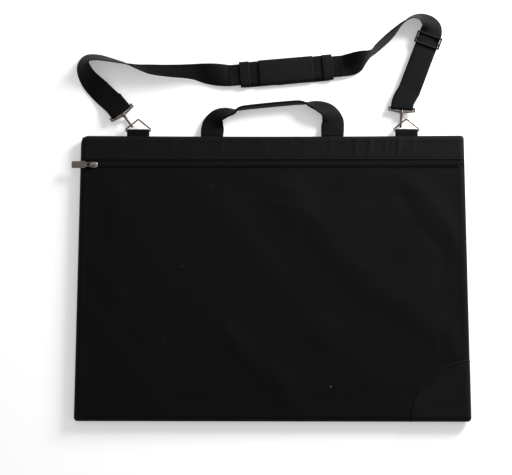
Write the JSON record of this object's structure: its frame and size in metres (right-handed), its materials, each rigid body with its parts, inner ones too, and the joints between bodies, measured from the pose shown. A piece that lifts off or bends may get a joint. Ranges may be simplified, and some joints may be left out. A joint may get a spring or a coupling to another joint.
{
  "type": "portfolio case",
  "caption": "Flat rectangular zipped art portfolio case, lying on its back, with a webbing handle and a padded shoulder strap clipped to wire rings.",
  "frame": {"origin": "centre of the back's outer face, on the surface the case lies on", "axes": "+Z out of the front face, +X to the right along the zip, +Y towards the edge with the handle and strap"},
  "size_m": [0.664, 0.7022, 0.038],
  "materials": {
    "shell_fabric": "dense black woven polyester, dull with a faint sheen",
    "patch_fabric": "coarser black woven polyester",
    "lining_fabric": "plain black lining",
    "padding": "closed-cell foam sheet",
    "stiffener": "polypropylene board",
    "webbing": "ribbed black polypropylene webbing",
    "zip_tape": "black woven zip tape",
    "zip_coil": "black nylon coil",
    "nickel": "bright nickel plate on zinc",
    "wire_nickel": "dark nickel-plated steel wire",
    "adjuster_plastic": "black moulded acetal",
    "pad_fabric": "black ribbed non-slip fabric over foam"
  },
  "bodies": {
    "case": {"back_panel": "shell_fabric", "back_board": "stiffener", "back_lining": "lining_fabric", "front_panel": "shell_fabric", "top_band": "shell_fabric", "front_foam": "padding", "front_lining": "lining_fabric", "corner_patch": "patch_fabric", "zip_tape_upper": "zip_tape", "zip_tape_lower": "zip_tape", "zip_coil_upper": "zip_coil", "zip_coil_lower": "zip_coil", "zip_stops": "nickel", "handle_ends": "webbing", "ring_tab_left": "webbing", "ring_tab_right": "webbing"},
    "slider": {"zip_slider": "nickel"},
    "pull": {"zip_pull": "nickel"},
    "handle": {"handle_webbing": "webbing"},
    "ring_left": {"ring_left": "wire_nickel"},
    "ring_right": {"ring_right": "wire_nickel"},
    "strap": {"strap_webbing": "webbing", "hook_eye_left": "nickel", "hook_eye_right": "nickel"},
    "hook_left": {"hook_left": "nickel", "gate_pin_left": "nickel"},
    "hook_right": {"hook_right": "nickel", "gate_pin_right": "nickel"},
    "gate_left": {"hook_gate_left": "nickel"},
    "gate_right": {"hook_gate_right": "nickel"},
    "pad": {"pad_base": "pad_fabric", "pad_cover": "pad_fabric", "pad_keepers": "pad_fabric"},
    "adjuster": {"adjuster": "adjuster_plastic", "adjuster_tab": "webbing"}
  },
  "joints": [
    {"name": "zip_slide", "type": "slide", "parent": "case", "child": "slider", "axis": [1, 0, 0], "range_m": [0, 0.606]},
    {"name": "zip_pull_flip", "type": "hinge", "parent": "slider", "child": "pull", "pos_m": [-0.3015, 0.1885, 0.022], "axis": [0, 1, 0], "range_deg": [0, 170]},
    {"name": "handle_swing", "type": "hinge", "parent": "case", "child": "handle", "pos_m": [0, 0.2421, 0.009], "axis": [1, 0, 0], "range_deg": [0, 105]},
    {"name": "strap_swing", "type": "hinge", "parent": "case", "child": "strap", "pos_m": [0, 0.2495, 0.009], "axis": [1, 0, 0], "range_deg": [0, 110]},
    {"name": "ring_left_swing", "type": "hinge", "parent": "case", "child": "ring_left", "pos_m": [-0.2285, 0.2495, 0.009], "axis": [1, 0, 0], "range_deg": [0, 110]},
    {"name": "ring_right_swing", "type": "hinge", "parent": "case", "child": "ring_right", "pos_m": [0.2285, 0.2495, 0.009], "axis": [1, 0, 0], "range_deg": [0, 110]},
    {"name": "hook_left_swivel", "type": "hinge", "parent": "strap", "child": "hook_left", "pos_m": [-0.25272, 0.27561, 0.009], "axis": [0.6018, -0.7986, 0], "range_deg": [-15, 15]},
    {"name": "hook_right_swivel", "type": "hinge", "parent": "strap", "child": "hook_right", "pos_m": [0.22038, 0.27958, 0.009], "axis": [-0.0872, -0.9962, 0], "range_deg": [-15, 15]},
    {"name": "gate_left_open", "type": "hinge", "parent": "hook_left", "child": "gate_left", "pos_m": [-0.25097, 0.2733, 0.0142], "axis": [0.7986, 0.6018, 0], "range_deg": [0, 30], "stiffness_Nm_per_rad": 0.0005, "springref_deg": -11.46},
    {"name": "gate_right_open", "type": "hinge", "parent": "hook_right", "child": "gate_right", "pos_m": [0.22012, 0.27669, 0.0142], "axis": [0.9962, -0.0872, 0], "range_deg": [0, 30], "stiffness_Nm_per_rad": 0.0005, "springref_deg": -11.46},
    {"name": "pad_slide", "type": "slide", "parent": "strap", "child": "pad", "axis": [0.9962, 0.0872, 0], "range_m": [-0.012, 0.012]},
    {"name": "adjuster_slide", "type": "slide", "parent": "strap", "child": "adjuster", "axis": [-0.3571, -0.9341, 0], "range_m": [0, 0.065]}
  ],
  "couplings": [
    {"joint": "ring_left_swing", "follows": "strap_swing", "ratio": 1},
    {"joint": "ring_right_swing", "follows": "strap_swing", "ratio": 1}
  ]
}
